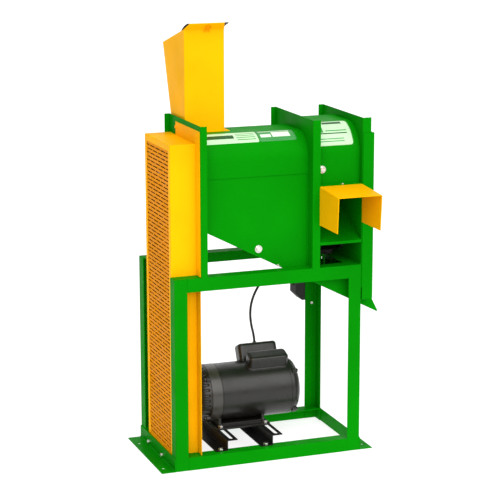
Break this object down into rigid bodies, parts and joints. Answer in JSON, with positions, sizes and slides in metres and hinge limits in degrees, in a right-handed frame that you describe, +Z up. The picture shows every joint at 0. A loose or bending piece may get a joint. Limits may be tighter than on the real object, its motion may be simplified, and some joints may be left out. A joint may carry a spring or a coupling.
{
  "type": "corn sheller",
  "caption": "Floor-standing motor-driven corn sheller: toothed drum under a feed hopper, cob spout, sloping grain chute, mesh belt guard, on an angle-steel frame.",
  "frame": {"origin": "centre of the four anchor holes, on the floor", "axes": "+Z up; the operator stands at -Y in front of the feed hopper and the cob spout; +X runs along the rotor from the belt guard towards the grain outlet"},
  "size_m": [0.672, 0.534, 1.243],
  "materials": {
    "frame_green": "gloss",
    "sheet_green": "gloss",
    "guard_yellow": "gloss",
    "motor_black": "satin",
    "slide_black": "satin",
    "black_plastic": "matte",
    "black_rubber": "matte",
    "cast_iron": "matte",
    "bare_steel": "satin",
    "zinc_steel": "satin"
  },
  "bodies": {
    "frame": {"bearing_bolts": "zinc_steel", "belt_guard_back_plate": "guard_yellow", "belt_guard_box": "guard_yellow", "belt_guard_mesh": "guard_yellow", "chamber_bolts": "zinc_steel", "cob_hood": "sheet_green", "cob_shelf": "sheet_green", "cob_spout": "guard_yellow", "fan_bearings": "cast_iron", "fan_belt": "black_rubber", "fan_belt_cover": "sheet_green", "front_base_rail": "frame_green", "front_capacitor_cover": "motor_black", "front_left_leg": "frame_green", "front_right_leg": "frame_green", "front_top_rail": "frame_green", "grain_chute": "sheet_green", "guard_bolts": "zinc_steel", "hopper": "guard_yellow", "hopper_screws": "zinc_steel", "left_bulkhead": "sheet_green", "left_foot_angle": "frame_green", "left_rotor_bearing": "cast_iron", "left_slide_rail": "slide_black", "main_belts": "black_rubber", "middle_bulkhead": "sheet_green", "motor_cable": "black_rubber", "motor_cable_gland": "black_plastic", "motor_drive_bell": "motor_black", "motor_foot": "motor_black", "motor_foot_bolts": "zinc_steel", "motor_rear_bell": "motor_black", "motor_shell": "motor_black", "rear_base_rail": "frame_green", "rear_capacitor_cover": "motor_black", "rear_left_leg": "frame_green", "rear_right_leg": "frame_green", "rear_top_rail": "frame_green", "right_bulkhead": "sheet_green", "right_foot_angle": "frame_green", "right_rotor_bearing": "cast_iron", "right_slide_rail": "slide_black", "right_top_rail": "frame_green", "shelling_grate": "bare_steel", "shelling_hood": "sheet_green", "slide_rail_bolts": "zinc_steel", "switch_box": "black_plastic", "switch_cable_gland": "black_plastic"},
    "rotor": {"rotor_shaft": "bare_steel", "shelling_drum": "bare_steel", "cob_ejector": "bare_steel", "rotor_pulley": "cast_iron", "fan_drive_pulley": "cast_iron"},
    "motor_rotor": {"motor_shaft": "bare_steel", "motor_pulley": "cast_iron"},
    "fan": {"fan_shaft": "bare_steel", "fan_wheel": "bare_steel", "fan_pulley": "cast_iron"},
    "flap": {"hopper_flap": "black_rubber"},
    "knob": {"switch_knob": "black_plastic"}
  },
  "joints": [
    {"name": "rotor_spin", "type": "hinge", "parent": "frame", "child": "rotor", "pos_m": [0, 0, 0.825], "axis": [1, 0, 0], "continuous": true},
    {"name": "motor_spin", "type": "hinge", "parent": "frame", "child": "motor_rotor", "pos_m": [0, 0.03, 0.163], "axis": [1, 0, 0], "continuous": true},
    {"name": "fan_spin", "type": "hinge", "parent": "frame", "child": "fan", "pos_m": [0.2, 0, 0.6], "axis": [1, 0, 0], "continuous": true},
    {"name": "flap_hinge", "type": "hinge", "parent": "frame", "child": "flap", "pos_m": [-0.135, -0.017, 1.241], "axis": [1, 0, 0], "range_deg": [0, 100]},
    {"name": "switch_turn", "type": "hinge", "parent": "frame", "child": "knob", "pos_m": [0.245, 0.227, 0.421], "axis": [0, 1, 0], "range_deg": [0, 90]}
  ],
  "couplings": [
    {"joint": "motor_spin", "follows": "rotor_spin", "ratio": 1.9556},
    {"joint": "fan_spin", "follows": "rotor_spin", "ratio": 2.2}
  ]
}
